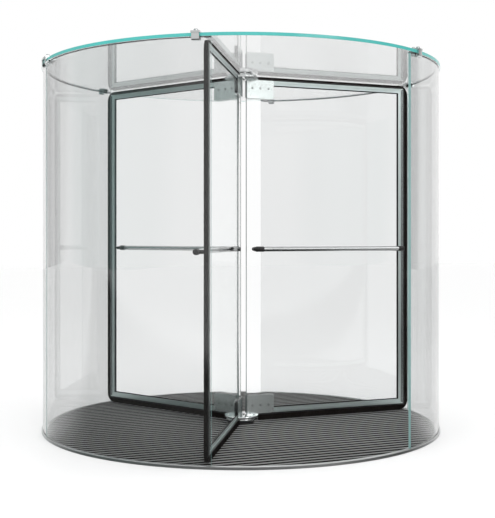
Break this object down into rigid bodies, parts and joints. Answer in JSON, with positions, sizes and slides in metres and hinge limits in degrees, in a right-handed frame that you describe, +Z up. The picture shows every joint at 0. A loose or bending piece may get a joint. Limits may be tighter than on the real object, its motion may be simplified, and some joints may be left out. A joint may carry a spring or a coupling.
{
  "type": "revolving door",
  "caption": "All-glass revolving door: a round glass drum with two open doorways, a glass ceiling and a turnstile of glass wings with push bars on a central pivot.",
  "frame": {"origin": "centre of the base, on the ground at the turning axis", "axes": "+Z up along the turning axis, -Y out of the front doorway, +X to the right seen from the front"},
  "size_m": [2.436, 2.4158, 2.197],
  "materials": {
    "ring_steel": "brushed stainless steel",
    "mat": "ribbed entrance mat, dark base under light ribs",
    "dark_steel": "dark satin",
    "curved_glass": "clear curved safety glass",
    "wing_glass": "clear safety glass",
    "ceiling_glass": "clear laminated glass with a blue-green edge",
    "seal_rubber": "black rubber",
    "polished_steel": "polished stainless steel",
    "patch_steel": "fine satin stainless steel",
    "profile": "satin anodised aluminium",
    "brush": "dense black nylon bristles",
    "bar_steel": "satin stainless steel tube",
    "black_plastic": "black satin plastic"
  },
  "bodies": {
    "drum": {"floor_ring": "ring_steel", "floor_mat": "mat", "floor_bearing": "dark_steel", "left_front_glass": "curved_glass", "left_rear_glass": "curved_glass", "right_front_glass": "curved_glass", "right_rear_glass": "curved_glass", "left_top_seal": "seal_rubber", "right_top_seal": "seal_rubber", "ceiling_glass": "ceiling_glass", "ceiling_bearing": "polished_steel", "left_front_clamp": "polished_steel", "left_middle_clamp": "polished_steel", "left_rear_clamp": "polished_steel", "right_front_clamp": "polished_steel", "right_middle_clamp": "polished_steel", "right_rear_clamp": "polished_steel"},
    "turnstile": {"bottom_hub": "polished_steel", "top_hub": "polished_steel", "right_wing_glass": "wing_glass", "right_wing_frame": "profile", "right_wing_brush": "brush", "right_wing_top_patch": "patch_steel", "right_wing_bottom_patch": "patch_steel", "right_wing_push_bar": "bar_steel", "right_wing_bar_mounts": "black_plastic", "rear_wing_glass": "wing_glass", "rear_wing_frame": "profile", "rear_wing_brush": "brush", "rear_wing_top_patch": "patch_steel", "rear_wing_bottom_patch": "patch_steel", "rear_wing_push_bar": "bar_steel", "rear_wing_bar_mounts": "black_plastic", "front_wing_glass": "wing_glass", "front_wing_frame": "profile", "front_wing_brush": "brush", "front_wing_top_patch": "patch_steel", "front_wing_bottom_patch": "patch_steel", "front_wing_push_bar": "bar_steel", "front_wing_bar_mounts": "black_plastic"}
  },
  "joints": [
    {"name": "turnstile_spin", "type": "hinge", "parent": "drum", "child": "turnstile", "pos_m": [0, 0, 0], "axis": [0, 0, 1], "continuous": true}
  ]
}
